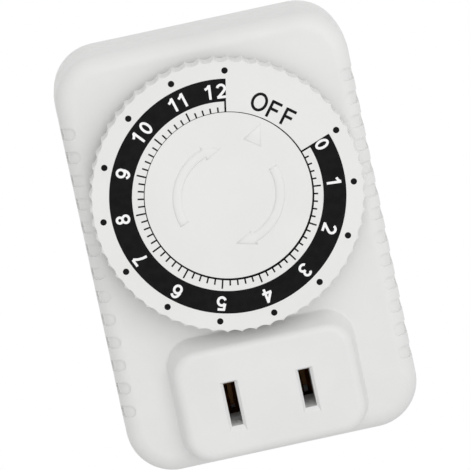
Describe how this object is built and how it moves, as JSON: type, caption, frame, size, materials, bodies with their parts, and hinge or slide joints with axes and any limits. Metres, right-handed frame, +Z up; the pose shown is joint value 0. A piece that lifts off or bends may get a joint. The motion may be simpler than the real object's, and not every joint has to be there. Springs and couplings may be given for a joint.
{
  "type": "plug-in timer switch",
  "caption": "White plug-in timer with a fluted countdown dial above a raised two-slot outlet, and flat plug blades on its back.",
  "frame": {"origin": "on the flat back face that meets the wall, midway between the two plug blades", "axes": "+X to the right and +Z up as the dial is seen; +Y towards the wall, along the blades"},
  "size_m": [0.05, 0.0435, 0.072],
  "materials": {
    "white_housing": "moulded white plastic, satin, very fine grain",
    "white_dial": "moulded white plastic with black pad printing",
    "blade_metal": "stamped brass, bright",
    "screw_steel": "zinc-plated steel",
    "spring_bronze": "phosphor bronze strip",
    "contact_silver": "silver alloy",
    "gear_plastic": "natural acetal",
    "pinion_brass": "machined brass",
    "plate_steel": "stamped plated steel",
    "insulator": "brown insulating resin",
    "winding_copper": "enamelled copper wire",
    "magnet": "sintered ferrite",
    "lead_white": "insulated stranded lead"
  },
  "bodies": {
    "housing": {"front_housing": "white_housing", "rear_housing": "white_housing", "live_blade": "blade_metal", "neutral_blade": "blade_metal", "housing_screws": "screw_steel", "plate_screws": "screw_steel", "motor_rivets": "screw_steel", "intermediate_pin": "screw_steel", "rotor_shaft": "screw_steel", "live_receptacle": "spring_bronze", "neutral_receptacle": "spring_bronze", "neutral_busbar": "spring_bronze", "moving_contact_leaf": "spring_bronze", "fixed_contact_leaf": "spring_bronze", "switch_rivets": "spring_bronze", "moving_contact_tip": "contact_silver", "fixed_contact_tip": "contact_silver", "coil_bobbin": "gear_plastic", "movement_plate": "plate_steel", "motor_can": "plate_steel", "motor_cover": "plate_steel", "contact_carrier": "insulator", "switch_base": "insulator", "coil_winding": "winding_copper", "motor_rotor": "magnet", "live_lead": "lead_white", "switched_lead": "lead_white", "motor_lead_live": "lead_white", "motor_lead_neutral": "lead_white"},
    "dial": {"timer_dial": "white_dial", "dial_spindle": "gear_plastic", "spindle_clip": "screw_steel", "off_cam": "gear_plastic", "friction_washer": "plate_steel"},
    "drive": {"drive_wheel": "gear_plastic"},
    "intermediate": {"intermediate_wheel": "gear_plastic"},
    "pinion": {"motor_pinion": "pinion_brass"}
  },
  "joints": [
    {"name": "dial_turn", "type": "hinge", "parent": "housing", "child": "dial", "pos_m": [0, -0.0212, 0.02335], "axis": [0, 1, 0], "continuous": true, "deforming": ["moving_contact_leaf", "moving_contact_tip"]},
    {"name": "drive_wheel_turn", "type": "hinge", "parent": "housing", "child": "drive", "pos_m": [0, -0.0163, 0.02335], "axis": [0, 1, 0], "continuous": true},
    {"name": "intermediate_turn", "type": "hinge", "parent": "housing", "child": "intermediate", "pos_m": [0.0105, -0.0144, 0.03735], "axis": [0, 1, 0], "continuous": true},
    {"name": "pinion_turn", "type": "hinge", "parent": "housing", "child": "pinion", "pos_m": [0.0005, -0.0143, 0.03735], "axis": [0, 1, 0], "continuous": true}
  ],
  "couplings": [
    {"joint": "drive_wheel_turn", "follows": "dial_turn", "ratio": 1},
    {"joint": "intermediate_turn", "follows": "dial_turn", "ratio": -6},
    {"joint": "pinion_turn", "follows": "dial_turn", "ratio": 18}
  ]
}
